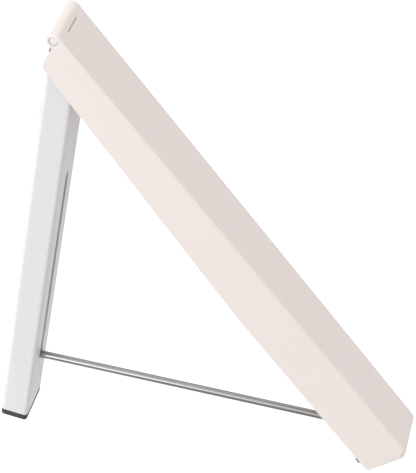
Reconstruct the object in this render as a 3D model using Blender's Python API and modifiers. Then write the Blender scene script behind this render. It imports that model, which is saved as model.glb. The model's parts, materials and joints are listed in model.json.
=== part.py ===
"""Wall mounted fold down drying rack.

A slotted aluminium channel hangs flat on the wall. A U shaped plastic arm turns on a pin in the
channel's top end and covers the channel when it is folded away. A steel rod hangs between the arm's
free end and a slider that runs in the channel. Folded out, the rod is nearly level and locks the arm.

Frame: X out from the wall, Y across the rack, Z up. The origin is on the wall, at the centre of the
upper wall pad. Lengths are in millimetres here and are turned into metres where a mesh is made.
"""
from math import acos, atan2, cos, pi, radians, sin, sqrt, tan

import bmesh
import bpy
from mathutils import Matrix, Vector

MM = 0.001                    # one millimetre in metres

# ---- driving sizes, mm and degrees ----
OPEN_ANGLE = 47.0             # between the arm's front and the wall, folded out
CLOSED_ANGLE = 3.1            # the same, folded away
ROD_RISE = 5.7                # the rod climbs this much towards the arm's free end

CHANNEL_WIDTH = 32.5
CHANNEL_DEPTH = 18.2
CHANNEL_WALL = 1.7
CHANNEL_CORNER = 2.4
BELOW_SLOT = 41.3             # solid front left under the slot

PAD_THICKNESS = 1.3
PAD_WIDTH = 20.0
PAD_HEIGHT = 14.0
UPPER_PAD_DROP = 42.4         # hinge axis down to the upper pad's centre
LOWER_PAD_RISE = 3.2          # channel's lower end up to the lower pad

ARM_LENGTH = 363.2            # hinge end to free end
ARM_WALL = 2.3
ARM_FRONT = 2.5
ARM_SIDE_GAP = 1.1            # arm's side wall to the channel
ARM_HINGE_DEPTH = 22.3        # side wall's depth at the heel
ARM_END_DEPTH = 31.8          # side wall's depth at the free end
RIM_TAPER_END = 215.0         # ear pin to where the rim runs level with the front
ARM_EDGE = 1.7                # rounding along the arm's outer edges
ROLL_RADIUS = 4.3             # rolled hinge end, and the ears
EAR_PIN_DIAMETER = 5.0
END_RADIUS = 4.6              # rounding of the free end's corners

HINGE_ALONG = 15.6            # hinge axis, along the arm from the ear pin
HINGE_DEPTH = 13.4            # hinge axis, below the arm's front
EAR_PIN_OUT = 3.1             # ear pin's axis out from the channel's back, folded out
HINGE_PIN_DIAMETER = 4.0
PIN_SEAT = 1.3                # depth of the blind seats in the arm's side walls

ROD_DIAMETER = 5.0
ROD_PIVOT_INSET = 10.4        # rod pivot to the free end
ROD_PIVOT_DEPTH = 11.0        # rod pivot below the arm's front
ROD_PIN_DIAMETER = 4.0
ROD_OVERRUN = 3.0             # rod past its inner pivot
SLIDER_PIVOT_IN = 5.2         # slider's pivot behind the channel's front

SLOT_SIDE = 0.4               # slot's side to the rod
HINGE_BLOCK_TOP = 4.6         # hinge block above the channel's end
HINGE_BLOCK_SETBACK = 0.5     # its front behind the channel's, clear of the arm's front
END_CAP = 4.5
KEYHOLE_HEAD = 10.0
KEYHOLE_SHANK = 4.6
KEYHOLE_RISE = 10.0           # centre of the head's hole to the neck's end

SLIT_ALONG = 4.2              # slit in the arm's front, from the ear pin
SLIT_WIDTH = 1.2
SLIT_LENGTH = 15.4
HEEL_ABOVE = 3.0              # top of the arm's heel above the hinge axis
HEEL_GAP = 0.35               # heel to the wall, folded out
NOTCH_ALONG = 4.3             # bottom of the notch between ear and heel
NOTCH_DEPTH = 10.3

KNUCKLE_RADIUS = 5.0
KNUCKLE_WIDTH = 9.0
KNUCKLE_NECK = 4.0            # neck's radius
KNUCKLE_REACH = 17.0          # rod pivot to the neck's end
KNUCKLE_FLOOR = 6.0           # rod pivot to the rod's outer end
WASHER = 0.7                  # nylon washers on the rod's pin
HINGE_WASHER = 0.5            # nylon washers on the hinge pin
CHEEK = 2.2                   # ribs that carry the rod's pin
CHEEK_MARGIN = 4.8            # rib around the rod's pin
PIN_HEAD = 1.5

SLIDER_ABOVE = 13.5           # slider's top above its pivot
SLIDER_BELOW = 8.0
BRIDGE_FROM = 9.5             # underside of the slider's bridge above its pivot
BRIDGE_BACK = 1.2             # bridge's rear face behind the pivot
SLIDER_PLAY = 0.4             # slider to the channel's inside
PIVOT_SCREW = 3.0

BUMPER_FROM_END = 10.4        # bumper's centre from the free end
BUMPER_LENGTH = 4.0
BUMPER_PROUD = 0.6
BUMPER_STEM = 2.0

# ---- clearances, mm ----
FIT = 0.3                     # pieces that rest on or sit in each other
RUN = 0.3                     # radial room of a turning pin

# ---- worked out from the driving sizes ----
BACK = PAD_THICKNESS + FIT                       # channel's back out from the wall
ROD_RADIUS = ROD_DIAMETER / 2
ARM_INNER = CHANNEL_WIDTH + 2 * ARM_SIDE_GAP
ARM_WIDTH = ARM_INNER + 2 * ARM_WALL
SLOT_WIDTH = ROD_DIAMETER + 2 * SLOT_SIDE
THETA = radians(OPEN_ANGLE)
ALONG = Vector((sin(THETA), 0, -cos(THETA)))     # down the arm, folded out
OUTWARD = Vector((cos(THETA), 0, sin(THETA)))    # square to the arm's front
FREE_END = ARM_LENGTH - ROLL_RADIUS              # free end from the ear pin

# The hinge axis sits at the arm's own (along, depth), under the ear pin's known stand off.
HINGE_X = BACK + EAR_PIN_OUT + HINGE_ALONG * ALONG.x + (ROLL_RADIUS - HINGE_DEPTH) * OUTWARD.x
HINGE_Z = UPPER_PAD_DROP
HINGE = Vector((HINGE_X, 0, HINGE_Z))


def arm_point(along, depth, y=0.0):
    """A point given along the arm from the ear pin, and below its front, folded out."""
    place = HINGE + (along - HINGE_ALONG) * ALONG + (HINGE_DEPTH - depth) * OUTWARD
    return Vector((place.x, y, place.z))


ROD_PIVOT = arm_point(FREE_END - ROD_PIVOT_INSET, ROD_PIVOT_DEPTH)
RISE = radians(ROD_RISE)
SLIDER_X = BACK + CHANNEL_DEPTH - SLIDER_PIVOT_IN
ROD_LENGTH = (ROD_PIVOT.x - SLIDER_X) / cos(RISE)
SLIDER_PIVOT = Vector((SLIDER_X, 0, ROD_PIVOT.z - ROD_LENGTH * sin(RISE)))

# Folding away turns the rod pivot about the hinge; the slider climbs to keep the rod's length.
SWING = radians(OPEN_ANGLE - CLOSED_ANGLE)
REACH = ROD_PIVOT - HINGE
CLOSED_PIVOT_X = HINGE.x + REACH.x * cos(SWING) + REACH.z * sin(SWING)
CLOSED_PIVOT_Z = HINGE.z - REACH.x * sin(SWING) + REACH.z * cos(SWING)
CLOSED_RUN = CLOSED_PIVOT_X - SLIDER_X
SLIDER_CLOSED_Z = CLOSED_PIVOT_Z + sqrt(ROD_LENGTH ** 2 - CLOSED_RUN ** 2)

SLOT_LOW = SLIDER_PIVOT.z + SLIDER_PIVOT_IN * tan(RISE) - SLOT_WIDTH / 2 - 0.5
SLOT_HIGH = SLIDER_CLOSED_Z + ROD_RADIUS - 0.3
CHANNEL_TOP = HINGE.z + HINGE_PIN_DIAMETER / 2 + 1.0
CHANNEL_LOW = SLOT_LOW - BELOW_SLOT
INNER_WIDTH = CHANNEL_WIDTH - 2 * CHANNEL_WALL
LOWER_PAD_Z = CHANNEL_LOW + LOWER_PAD_RISE + PAD_HEIGHT / 2
UPPER_KEYHOLE_Z = -PAD_HEIGHT / 2 - 1 - KEYHOLE_RISE
LOWER_KEYHOLE_Z = LOWER_PAD_Z + PAD_HEIGHT / 2 + 2.5 + KEYHOLE_HEAD / 2
ARM_PLACE = Matrix.Translation(HINGE * MM) @ Matrix.Rotation(pi / 2 - THETA, 4, "Y")
ROD_PLACE = Matrix.Translation(ROD_PIVOT * MM) @ Matrix.Rotation(-RISE, 4, "Y")

FINISH = {
    # name: (colour, roughness, metallic)
    "satin aluminium": ((0.86, 0.86, 0.86, 1), 0.38, 0.55),
    "black plastic": ((0.035, 0.035, 0.04, 1), 0.5, 0.0),
    "blush plastic": ((0.86, 0.76, 0.73, 1), 0.42, 0.0),
    "stainless steel": ((0.62, 0.62, 0.62, 1), 0.22, 1.0),
    "black rubber": ((0.02, 0.02, 0.02, 1), 0.8, 0.0),
    "white nylon": ((0.88, 0.88, 0.86, 1), 0.45, 0.0),
    "pad foam": ((0.90, 0.90, 0.88, 1), 0.85, 0.0),
}

ROUND = 32                    # faces round a turned piece
ARC_STEP = radians(15)        # between points on a rounded outline


# ---- scene and materials ----
def clear_scene():
    for thing in list(bpy.data.objects):
        bpy.data.objects.remove(thing, do_unlink=True)


def make_collection(name, hidden=False):
    collection = bpy.data.collections.new(name)
    bpy.context.scene.collection.children.link(collection)
    collection.hide_render = hidden
    return collection


def make_material(name, finish):
    colour, roughness, metallic = FINISH[finish]
    material = bpy.data.materials.new(name)
    material.use_nodes = True
    shader = material.node_tree.nodes["Principled BSDF"]
    shader.inputs["Base Color"].default_value = colour
    shader.inputs["Roughness"].default_value = roughness
    shader.inputs["Metallic"].default_value = metallic
    material.diffuse_color = colour
    return material


clear_scene()
PARTS = make_collection("fold_down_drying_rack")
CUTTERS = make_collection("cutters", hidden=True)


# ---- modelling helpers, all sizes in mm ----
def adopt(thing, name, collection):
    """Name an object that an operator made, and keep it in one collection only."""
    for home in list(thing.users_collection):
        home.objects.unlink(thing)
    collection.objects.link(thing)
    thing.name = name
    thing.data.name = name
    if collection is CUTTERS:
        thing.hide_render = True
        thing.display_type = "WIRE"
    return thing


def apply_place(thing):
    """Put an object's turn and scale into its mesh, and leave its origin where it is."""
    turn = thing.matrix_world.to_3x3().to_4x4()
    thing.data.transform(turn)
    thing.matrix_world = Matrix.Translation(thing.matrix_world.translation)


def box(name, low, high, collection=PARTS, rounding=0.0, along="Z", segments=4):
    """A box between two corners; the edges that run along one axis can be rounded."""
    bpy.ops.mesh.primitive_cube_add(size=1)
    thing = adopt(bpy.context.object, name, collection)
    low, high = Vector(low) * MM, Vector(high) * MM
    size = high - low
    thing.data.transform(Matrix.Diagonal((*size, 1)))
    thing.location = (low + high) / 2
    if rounding > 0:
        shape = bmesh.new()
        shape.from_mesh(thing.data)
        axis = Vector({"X": (1, 0, 0), "Y": (0, 1, 0), "Z": (0, 0, 1)}[along])
        edges = [e for e in shape.edges
                 if abs((e.verts[0].co - e.verts[1].co).normalized().dot(axis)) > 0.99]
        bmesh.ops.bevel(shape, geom=edges, offset=rounding * MM, segments=segments,
                        affect="EDGES", profile=0.5)
        shape.to_mesh(thing.data)
        shape.free()
    bpy.context.view_layer.update()
    return thing


def cylinder(name, centre, radius, length, axis="Y", collection=PARTS, faces=ROUND):
    bpy.ops.mesh.primitive_cylinder_add(vertices=faces, radius=radius * MM, depth=length * MM)
    thing = adopt(bpy.context.object, name, collection)
    turn = {"X": (0, pi / 2, 0), "Y": (pi / 2, 0, 0), "Z": (0, 0, 0)}[axis]
    thing.rotation_euler = turn
    thing.location = Vector(centre) * MM
    bpy.context.view_layer.update()
    apply_place(thing)
    return thing


def turned(name, profile, centre, axis="Y", faces=ROUND):
    """A turned piece: (radius, height) points down its outer side, ends on the axis."""
    mesh = bpy.data.meshes.new(name)
    points = [(radius * MM, 0, height * MM) for radius, height in profile]
    mesh.from_pydata(points, [(i, i + 1) for i in range(len(points) - 1)], [])
    thing = bpy.data.objects.new(name, mesh)
    PARTS.objects.link(thing)
    screw = thing.modifiers.new("Turn", "SCREW")
    screw.axis = "Z"
    screw.angle = 2 * pi
    screw.steps = faces
    screw.render_steps = faces
    screw.use_merge_vertices = True
    screw.merge_threshold = 0.00001
    thing.rotation_euler = {"X": (0, pi / 2, 0), "Y": (-pi / 2, 0, 0), "Z": (0, 0, 0)}[axis]
    thing.location = Vector(centre) * MM
    bpy.context.view_layer.update()
    return thing


def plate(name, outline, width, collection=PARTS):
    """A flat outline of (x, z) points, centred on Y and as thick as width."""
    curve = bpy.data.curves.new(name, "CURVE")
    curve.dimensions = "2D"
    curve.fill_mode = "BOTH"
    curve.extrude = width / 2 * MM
    spline = curve.splines.new("POLY")
    spline.points.add(len(outline) - 1)
    for point, (x, z) in zip(spline.points, outline):
        point.co = (x * MM, z * MM, 0, 1)
    spline.use_cyclic_u = True
    guide = bpy.data.objects.new(name + "_outline", curve)
    CUTTERS.objects.link(guide)
    guide.rotation_euler = (pi / 2, 0, 0)
    bpy.context.view_layer.update()
    mesh = bpy.data.meshes.new_from_object(guide.evaluated_get(bpy.context.evaluated_depsgraph_get()))
    mesh.transform(guide.matrix_world)
    bpy.data.objects.remove(guide, do_unlink=True)
    shape = bmesh.new()
    shape.from_mesh(mesh)
    bmesh.ops.remove_doubles(shape, verts=shape.verts, dist=0.000001)
    bmesh.ops.recalc_face_normals(shape, faces=shape.faces)
    shape.to_mesh(mesh)
    shape.free()
    thing = bpy.data.objects.new(name, mesh)
    collection.objects.link(thing)
    if collection is CUTTERS:
        thing.hide_render = True
        thing.display_type = "WIRE"
    return thing


def combine(thing, other, operation):
    step = thing.modifiers.new(operation.title() + " " + other.name, "BOOLEAN")
    step.operation = operation
    step.solver = "EXACT"
    step.object = other


def cut(thing, *cutters):
    for cutter in cutters:
        combine(thing, cutter, "DIFFERENCE")


def join(thing, *others):
    for other in others:
        combine(thing, other, "UNION")


def arc(centre, radius, start, end):
    """Points round an arc, angles in radians, both ends included."""
    steps = max(2, round(abs(end - start) / ARC_STEP))
    turns = [start + (end - start) * i / steps for i in range(steps + 1)]
    return [(centre[0] + radius * cos(t), centre[1] + radius * sin(t)) for t in turns]


def rounded(points, radii):
    """A closed outline whose corners are rounded, each by its own radius (0 leaves it sharp)."""
    outline = []
    count = len(points)
    for i, radius in enumerate(radii):
        here = Vector(points[i])
        before = (Vector(points[i - 1]) - here).normalized()
        after = (Vector(points[(i + 1) % count]) - here).normalized()
        if radius <= 0:
            outline.append(tuple(here))
            continue
        half = acos(max(-1, min(1, before.dot(after)))) / 2
        centre = here + (before + after).normalized() * radius / sin(half)
        first = here + before * radius / tan(half) - centre
        last = here + after * radius / tan(half) - centre
        start = atan2(first.y, first.x)
        turn = atan2(last.y, last.x) - start
        turn = (turn + pi) % (2 * pi) - pi
        outline += arc(centre, radius, start, start + turn)
    return outline


def finish(thing, finish_name, smooth=False):
    """Give a part its own material; round pieces are shaded smooth."""
    thing.data.materials.clear()
    thing.data.materials.append(make_material(thing.name, finish_name))
    if smooth and not thing.modifiers:
        thing.data.shade_smooth()
        thing.data.set_sharp_from_angle(angle=radians(35))
    return thing


# ---- wall side ----
def stadium(name, low, high, collection=CUTTERS):
    """A round ended slot through X, between two corners."""
    radius = (high[1] - low[1]) / 2
    return box(name, low, high, collection, rounding=radius * 0.999, along="X", segments=12)


def make_channel():
    half = CHANNEL_WIDTH / 2
    inner = INNER_WIDTH / 2
    front = BACK + CHANNEL_DEPTH
    channel = box("channel", (BACK, -half, CHANNEL_LOW), (front, half, CHANNEL_TOP),
                  rounding=CHANNEL_CORNER)
    hollow = box("channel_hollow", (BACK + CHANNEL_WALL, -inner, CHANNEL_LOW - 5),
                 (front - CHANNEL_WALL, inner, CHANNEL_TOP + 5), CUTTERS,
                 rounding=CHANNEL_CORNER - CHANNEL_WALL, segments=2)
    side = SLOT_WIDTH / 2
    slot = stadium("rod_slot", (BACK - 5, -side, SLOT_LOW), (front + 5, side, SLOT_HIGH))
    cut(channel, hollow, slot)
    # the hinge pin drops in from the channel's end, with the hinge block
    notch = HINGE_PIN_DIAMETER / 2 + RUN
    pin_notch = box("pin_notch", (HINGE.x - notch, -half - 5, HINGE.z),
                    (HINGE.x + notch, half + 5, CHANNEL_TOP + 5), CUTTERS)
    pin_seat = cylinder("pin_seat", HINGE, notch, CHANNEL_WIDTH + 10, "Y", CUTTERS)
    join(pin_notch, pin_seat)
    cut(channel, pin_notch)
    # keyholes in the back wall hang the channel on two screws
    for name, centre_z in (("upper", UPPER_KEYHOLE_Z), ("lower", LOWER_KEYHOLE_Z)):
        head = cylinder("keyhole_head_" + name, (BACK, 0, centre_z), KEYHOLE_HEAD / 2,
                        2 * CHANNEL_WALL + 2, "X", CUTTERS)
        shank = KEYHOLE_SHANK / 2
        neck = stadium("keyhole_neck_" + name, (BACK - CHANNEL_WALL - 1, -shank, centre_z - shank),
                       (BACK + CHANNEL_WALL + 1, shank, centre_z + KEYHOLE_RISE))
        join(head, neck)
        cut(channel, head)
    return finish(channel, "satin aluminium")


def make_hinge_block():
    """The block closes the channel's top end, and its bore carries the hinge pin."""
    half = CHANNEL_WIDTH / 2
    wall_inside = BACK + CHANNEL_DEPTH - CHANNEL_WALL
    front = BACK + CHANNEL_DEPTH - HINGE_BLOCK_SETBACK
    low = CHANNEL_TOP + FIT
    outline = rounded([(BACK, low), (front, low), (front, low + HINGE_BLOCK_TOP),
                       (BACK, low + HINGE_BLOCK_TOP)], [0, 0, HINGE_BLOCK_TOP - 0.2, 1.0])
    block = plate("hinge_block", outline, CHANNEL_WIDTH)
    trim = box("block_trim", (BACK, -half, low - 5), (front, half, low + HINGE_BLOCK_TOP + 5),
               CUTTERS, rounding=CHANNEL_CORNER)
    combine(block, trim, "INTERSECT")
    side = INNER_WIDTH / 2 - FIT
    plug = box("block_plug", (BACK + CHANNEL_WALL + FIT, -side, HINGE.z - 8),
               (wall_inside - FIT, side, low + 1), CUTTERS, rounding=0.8, segments=2)
    join(block, plug)
    bore = cylinder("block_bore", HINGE, HINGE_PIN_DIAMETER / 2 + RUN, CHANNEL_WIDTH + 10, "Y",
                    CUTTERS)
    cut(block, bore)
    return finish(block, "black plastic")


def make_bottom_cap():
    half = CHANNEL_WIDTH / 2
    front = BACK + CHANNEL_DEPTH
    top = CHANNEL_LOW - FIT
    cap = box("bottom_cap", (BACK, -half, top - END_CAP), (front, half, top),
              rounding=CHANNEL_CORNER)
    side = INNER_WIDTH / 2 - FIT
    depth = CHANNEL_WALL + FIT
    plug = box("cap_plug", (BACK + depth, -side, top - 1), (front - depth, side, top + 9),
               CUTTERS, rounding=0.8, segments=2)
    join(cap, plug)
    return finish(cap, "black plastic")


def make_wall_pads():
    half = PAD_WIDTH / 2
    for name, centre in (("wall_pad_upper", 0.0), ("wall_pad_lower", LOWER_PAD_Z)):
        pad = box(name, (0, -half, centre - PAD_HEIGHT / 2),
                  (PAD_THICKNESS, half, centre + PAD_HEIGHT / 2), rounding=2.0, along="X")
        finish(pad, "pad foam")


def round_pin(name, centre, radius, length, finish_name="stainless steel"):
    """A plain pin along Y with broken edges."""
    half = length / 2
    edge = min(0.4, radius * 0.25)
    profile = [(0, half), (radius - edge, half), (radius, half - edge), (radius, edge - half),
               (radius - edge, -half), (0, -half)]
    return finish(turned(name, profile, centre), finish_name, smooth=True)


def ring(name, centre, inner, outer, thickness, finish_name):
    """A washer on a pin along Y."""
    washer = cylinder(name, centre, outer, thickness)
    hole = cylinder(name + "_hole", centre, inner, thickness + 4, "Y", CUTTERS)
    cut(washer, hole)
    return finish(washer, finish_name)


def make_hinge_pin():
    length = ARM_INNER + 2 * (PIN_SEAT - FIT)
    radius = HINGE_PIN_DIAMETER / 2
    round_pin("hinge_pin", HINGE, radius, length)
    for name, side in (("hinge_washer_near", -1), ("hinge_washer_far", 1)):
        middle = side * (CHANNEL_WIDTH + ARM_SIDE_GAP) / 2
        ring(name, (HINGE.x, middle, HINGE.z), radius + RUN, radius + 2.6, HINGE_WASHER,
             "white nylon")


# ---- slider ----
def make_slider():
    """A forked block: the rod's end swings between its cheeks, on two pointed set screws."""
    low_x = BACK + CHANNEL_WALL + SLIDER_PLAY
    high_x = BACK + CHANNEL_DEPTH - CHANNEL_WALL - SLIDER_PLAY
    half = INNER_WIDTH / 2 - SLIDER_PLAY
    pivot = SLIDER_PIVOT
    slider = box("slider", (low_x, -half, pivot.z - SLIDER_BELOW),
                 (high_x, half, pivot.z + SLIDER_ABOVE), rounding=0.6, segments=2)
    gap = ROD_RADIUS + FIT
    fork = box("slider_fork", (low_x - 5, -gap, pivot.z - SLIDER_BELOW - 5),
               (high_x + 5, gap, pivot.z + BRIDGE_FROM), CUTTERS)
    behind = box("slider_behind", (low_x - 5, -gap, pivot.z),
                 (pivot.x - BRIDGE_BACK, gap, pivot.z + SLIDER_ABOVE + 5), CUTTERS)
    bore = cylinder("slider_bore", pivot, PIVOT_SCREW / 2 + FIT, CHANNEL_WIDTH, "Y", CUTTERS,
                    faces=16)
    join(fork, behind, bore)
    cut(slider, fork)
    finish(slider, "white nylon")
    for name, side in (("pivot_screw_near", -1), ("pivot_screw_far", 1)):
        radius = PIVOT_SCREW / 2
        length = 9.0
        profile = [(0, length), (radius - 0.3, length), (radius, length - 0.3), (radius, 1.4),
                   (0.3, 0), (0, 0)]
        screw = turned(name, profile, (pivot.x, side * gap, pivot.z), faces=16)
        if side < 0:
            screw.rotation_euler = (pi / 2, 0, 0)
        finish(screw, "stainless steel", smooth=True)


# ---- arm, modelled square and then turned about the hinge axis ----
def arm_local(along, depth, y=0.0):
    """A point of the arm, in the arm's own axes with its origin on the hinge axis."""
    return Vector((along - HINGE_ALONG, y, HINGE_DEPTH - depth))


def side_outline(points):
    """(along, depth) points as an outline in the arm's own axes."""
    return [(along - HINGE_ALONG, HINGE_DEPTH - depth) for along, depth in points]


def place_on_arm(*things):
    bpy.context.view_layer.update()
    for thing in things:
        thing.matrix_world = ARM_PLACE @ thing.matrix_world
    bpy.context.view_layer.update()


def from_wall(x, z):
    """(along, depth) of a point given out from the wall and up, folded out."""
    away = Vector((x, 0, z)) - HINGE
    return HINGE_ALONG + away.dot(ALONG), HINGE_DEPTH - away.dot(OUTWARD)


def heel_foot():
    """Where the heel's wall side meets the rim."""
    rise = (HINGE_DEPTH - ARM_HINGE_DEPTH - (HEEL_GAP - HINGE.x) * cos(THETA)) / sin(THETA)
    return from_wall(HEEL_GAP, HINGE.z + rise)


def arm_side():
    """The arm seen from its side: front, rolled end, ear, notch, heel and tapered rim."""
    ear = [(x, -z) for x, z in arc((0, -ROLL_RADIUS), ROLL_RADIUS, pi / 2, radians(300))]
    corners = [(FREE_END, 0)] + ear
    radii = [END_RADIUS] + [0] * len(ear)
    corners += [(NOTCH_ALONG, NOTCH_DEPTH), from_wall(HEEL_GAP, HINGE.z + HEEL_ABOVE), heel_foot(),
                (RIM_TAPER_END, ARM_END_DEPTH), (FREE_END, ARM_END_DEPTH)]
    radii += [1.6, 4.0, 2.4, 900, 3.0]
    return rounded(side_outline(corners), radii)


def round_perimeter(thing, radius, segments):
    """Round the edges between a plate's two faces and its edge wall."""
    shape = bmesh.new()
    shape.from_mesh(thing.data)
    bmesh.ops.dissolve_limit(shape, angle_limit=radians(0.5), verts=shape.verts, edges=shape.edges)
    edges = [e for e in shape.edges
             if len(e.link_faces) == 2 and e.calc_face_angle(0) > radians(60)
             and any(abs(f.normal.y) > 0.9 for f in e.link_faces)]
    bmesh.ops.bevel(shape, geom=edges, offset=radius * MM, segments=segments, affect="EDGES",
                    profile=0.5)
    shape.to_mesh(thing.data)
    shape.free()


def make_arm_shell():
    shell = plate("arm_shell", arm_side(), ARM_WIDTH)
    round_perimeter(shell, ARM_EDGE, 3)

    # the hollow passes under the rolled end, which stays solid between the ears
    core = ROLL_RADIUS - 0.25
    meet = atan2(ROLL_RADIUS - ARM_FRONT, sqrt(core ** 2 - (ROLL_RADIUS - ARM_FRONT) ** 2))
    round_roll = [(x, -z) for x, z in arc((0, -ROLL_RADIUS), core, meet, -radians(178))]
    beyond = ARM_END_DEPTH + 30
    hollow_end = FREE_END - ARM_WALL
    corners = [(hollow_end, ARM_FRONT)] + round_roll
    corners += [(-ROLL_RADIUS - 10, ROLL_RADIUS + 1), (-ROLL_RADIUS - 10, beyond),
                (hollow_end, beyond)]
    radii = [END_RADIUS - ARM_WALL] + [0] * (len(corners) - 1)
    hollow = plate("arm_hollow", rounded(side_outline(corners), radii), ARM_INNER, CUTTERS)
    cut(shell, hollow)

    pivot = (FREE_END - ROD_PIVOT_INSET, ROD_PIVOT_DEPTH)
    cheek_inner = KNUCKLE_WIDTH / 2 + WASHER + 2 * FIT
    for name, side in (("near", -1), ("far", 1)):
        low, high = pivot[0] - CHEEK_MARGIN, pivot[0] + CHEEK_MARGIN
        outline = rounded(side_outline([(low - 4, ARM_FRONT - 1), (high, ARM_FRONT - 1),
                                        (high, pivot[1] + CHEEK_MARGIN),
                                        (low, pivot[1] + CHEEK_MARGIN)]), [0, 0, 4, 4])
        rib = plate("cheek_" + name, outline, CHEEK, CUTTERS)
        rib.location.y = side * (cheek_inner + CHEEK / 2) * MM
        join(shell, rib)
        place_on_arm(rib)

    radius = EAR_PIN_DIAMETER / 2 + FIT
    ear_bore = cylinder("ear_bore", arm_local(0, ROLL_RADIUS), radius, ARM_WIDTH + 10, "Y", CUTTERS)
    rod_bore = cylinder("rod_pin_bore", arm_local(*pivot), ROD_PIN_DIAMETER / 2 + FIT,
                        2 * (cheek_inner + CHEEK) + 4, "Y", CUTTERS)
    seat = cylinder("hinge_seats", (0, 0, 0), HINGE_PIN_DIAMETER / 2 + RUN,
                    ARM_INNER + 2 * PIN_SEAT, "Y", CUTTERS)
    low = arm_local(SLIT_ALONG - SLIT_WIDTH / 2, ARM_FRONT + 0.7, -SLIT_LENGTH / 2)
    high = arm_local(SLIT_ALONG + SLIT_WIDTH / 2, -5, SLIT_LENGTH / 2)
    slit = box("slit", low, high, CUTTERS)
    cut(shell, ear_bore, rod_bore, seat, slit)
    place_on_arm(shell, hollow, ear_bore, rod_bore, seat, slit)

    centre = FREE_END - BUMPER_FROM_END
    half = BUMPER_LENGTH / 2
    for name, side in (("bumper_near", -1), ("bumper_far", 1)):
        middle = side * (ARM_INNER + ARM_WALL) / 2
        rim = ARM_END_DEPTH
        head = box(name, arm_local(centre - half, rim + FIT + BUMPER_PROUD, middle - 0.95),
                   arm_local(centre + half, rim + FIT, middle + 0.95))
        stem = box(name + "_stem", arm_local(centre - half + 0.6, rim + FIT + 0.4, middle - 0.35),
                   arm_local(centre + half - 0.6, rim - BUMPER_STEM, middle + 0.35), CUTTERS)
        pocket = box(name + "_pocket",
                     arm_local(centre - half + 0.3, rim + 5, middle - 0.65),
                     arm_local(centre + half - 0.3, rim - BUMPER_STEM - FIT, middle + 0.65),
                     CUTTERS)
        join(head, stem)
        cut(shell, pocket)
        place_on_arm(head, stem, pocket)
        finish(head, "black rubber")
    return finish(shell, "blush plastic")


def make_ear_pin():
    centre = arm_point(0, ROLL_RADIUS)
    pin = round_pin("ear_pin", centre, EAR_PIN_DIAMETER / 2, ARM_WIDTH - 0.6, "white nylon")
    return pin


def make_rod_pin():
    """Headed pin through the two ribs, with a push on clip and washers beside the knuckle."""
    radius = ROD_PIN_DIAMETER / 2
    cheek_inner = KNUCKLE_WIDTH / 2 + WASHER + 2 * FIT
    cheek_outer = cheek_inner + CHEEK
    head_low = cheek_outer + FIT
    tail = cheek_outer + FIT + 1.6
    profile = [(0, tail), (radius - 0.4, tail), (radius, tail - 0.4), (radius, -head_low),
               (radius + 1.5, -head_low), (radius + 1.5, 0.3 - head_low - PIN_HEAD),
               (radius + 1.2, -head_low - PIN_HEAD), (0, -head_low - PIN_HEAD)]
    pin = turned("rod_pivot_pin", profile, ROD_PIVOT)
    finish(pin, "stainless steel", smooth=True)
    clip_y = cheek_outer + FIT + 0.5
    ring("pivot_clip", (ROD_PIVOT.x, clip_y, ROD_PIVOT.z), radius + 0.15, radius + 1.8, 0.8,
         "stainless steel")
    for name, side in (("pivot_washer_near", -1), ("pivot_washer_far", 1)):
        middle = side * (KNUCKLE_WIDTH / 2 + FIT + WASHER / 2)
        ring(name, (ROD_PIVOT.x, middle, ROD_PIVOT.z), radius + RUN, radius + 2.2, WASHER,
             "white nylon")


# ---- rod, modelled level along -X from its outer pivot and then tilted ----
def place_on_rod(*things):
    bpy.context.view_layer.update()
    for thing in things:
        thing.matrix_world = ROD_PLACE @ thing.matrix_world
    bpy.context.view_layer.update()


def make_rod():
    inner_end = ROD_LENGTH + ROD_OVERRUN
    length = inner_end - KNUCKLE_FLOOR
    edge = 0.8
    half = length / 2
    profile = [(0, half), (ROD_RADIUS - edge, half), (ROD_RADIUS - 0.25, half - 0.35),
               (ROD_RADIUS, half - edge), (ROD_RADIUS, edge - half),
               (ROD_RADIUS - 0.25, 0.35 - half), (ROD_RADIUS - edge, -half), (0, -half)]
    rod = turned("rod", profile, (-KNUCKLE_FLOOR - half, 0, 0), axis="X")
    eye = cylinder("rod_eye", (-ROD_LENGTH, 0, 0), 0.9, ROD_DIAMETER + 4, "Y", CUTTERS, faces=12)
    cut(rod, eye)
    place_on_rod(rod, eye)
    finish(rod, "stainless steel")


def make_knuckle():
    knuckle = cylinder("rod_knuckle", (0, 0, 0), KNUCKLE_RADIUS, KNUCKLE_WIDTH)
    neck = cylinder("knuckle_neck", (-KNUCKLE_REACH / 2, 0, 0), KNUCKLE_NECK, KNUCKLE_REACH, "X",
                    CUTTERS)
    bore = cylinder("knuckle_bore", (0, 0, 0), ROD_PIN_DIAMETER / 2 + RUN, KNUCKLE_WIDTH + 6, "Y",
                    CUTTERS)
    socket_from = KNUCKLE_FLOOR - FIT
    socket_to = KNUCKLE_REACH + 5
    socket = cylinder("knuckle_socket", (-(socket_from + socket_to) / 2, 0, 0), ROD_RADIUS + FIT,
                      socket_to - socket_from, "X", CUTTERS)
    join(knuckle, neck)
    cut(knuckle, bore, socket)
    place_on_rod(knuckle, neck, bore, socket)
    finish(knuckle, "white nylon")


make_channel()
make_hinge_block()
make_bottom_cap()
make_wall_pads()
make_hinge_pin()
make_slider()
make_arm_shell()
make_ear_pin()
make_rod_pin()
make_rod()
make_knuckle()


# ---- each moving body hangs on an empty on its joint's axis ----
def hang(empty_name, place, *names):
    empty = bpy.data.objects.new(empty_name, None)
    empty.empty_display_size = 0.02
    PARTS.objects.link(empty)
    empty.location = Vector(place) * MM
    bpy.context.view_layer.update()
    for name in names:
        thing = bpy.data.objects[name]
        thing.parent = empty
        thing.matrix_parent_inverse = empty.matrix_world.inverted()
    return empty


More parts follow.
